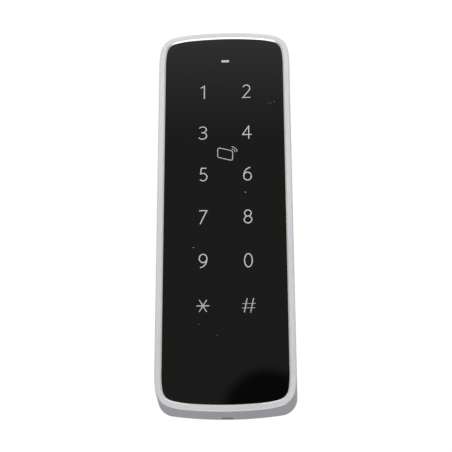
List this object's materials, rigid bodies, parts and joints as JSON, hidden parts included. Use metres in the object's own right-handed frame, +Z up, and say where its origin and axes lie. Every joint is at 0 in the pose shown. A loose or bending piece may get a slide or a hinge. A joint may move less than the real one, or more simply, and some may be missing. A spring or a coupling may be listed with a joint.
{
  "type": "keypad access reader",
  "caption": "Narrow wall-mounted touch keypad and card reader: black glass in a silver rim, hinged on a hidden wall bracket and locked by a screw from below.",
  "frame": {"origin": "centre of the bracket's rear face on the wall plane, midway between the wall fixings", "axes": "+X to the right seen from the front, +Y into the wall, +Z up; the glass faces -Y"},
  "size_m": [0.0492, 0.018, 0.142],
  "materials": {
    "housing": "satin metallic paint",
    "black_glass": "polished, tinted through",
    "print": "printed ink",
    "status_lamp": "translucent print",
    "bracket_steel": "zinc plated",
    "pin_steel": "ground",
    "screw_steel": "stainless, dull",
    "adhesive": "foam tape",
    "clear_plastic": "clear moulding",
    "led": "lens and white package",
    "board": "solder mask on glass laminate",
    "copper": "bare copper",
    "ferrite": "matt sheet",
    "carrier_plastic": "moulded",
    "chip_plastic": "moulded package",
    "capacitor_can": "sleeved can",
    "terminal_green": "moulded",
    "crystal_can": "plated lid",
    "plunger_plastic": "acetal",
    "spring_steel": "spring wire",
    "gasket": "foam rubber",
    "cover_plastic": "fine texture",
    "grommet_rubber": "moulded"
  },
  "bodies": {
    "bracket": {"wall_bracket": "bracket_steel", "hinge_pin": "pin_steel"},
    "reader": {"front_frame": "housing", "touch_glass": "black_glass", "key_legends": "print", "card_symbol": "print", "status_window": "status_lamp", "panel_adhesive": "adhesive", "backlight_guide": "clear_plastic", "backlight_leds": "led", "status_light_pipe": "clear_plastic", "status_led": "led", "touch_board": "board", "touch_pads": "copper", "rfid_antenna": "copper", "ferrite_sheet": "ferrite", "board_spacer": "carrier_plastic", "board_connector": "chip_plastic", "main_board": "board", "controller_chip": "chip_plastic", "radio_chip": "chip_plastic", "transceiver_chip": "chip_plastic", "voltage_regulator": "chip_plastic", "power_inductor": "ferrite", "capacitors": "capacitor_can", "chip_resistors": "chip_plastic", "crystal": "crystal_can", "buzzer": "chip_plastic", "cable_header": "terminal_green", "tamper_switch": "chip_plastic", "tamper_spring": "spring_steel", "sealing_gasket": "gasket", "rear_cover": "cover_plastic", "cover_screws": "screw_steel", "cable_grommet": "grommet_rubber"},
    "screw": {"security_screw": "screw_steel"},
    "tamper": {"tamper_plunger": "plunger_plastic"}
  },
  "joints": [
    {"name": "reader_swing", "type": "hinge", "parent": "bracket", "child": "reader", "pos_m": [0, -0.0025, 0.0646], "axis": [-1, 0, 0], "range_deg": [0, 18]},
    {"name": "screw_travel", "type": "slide", "parent": "bracket", "child": "screw", "axis": [0, 0, -1], "range_m": [0, 0.004]},
    {"name": "tamper_travel", "type": "slide", "parent": "reader", "child": "tamper", "axis": [0, 1, 0], "range_m": [0, 0.0015], "stiffness_N_per_m": 200, "springref_m": 0.003, "deforming": ["tamper_spring"]}
  ]
}
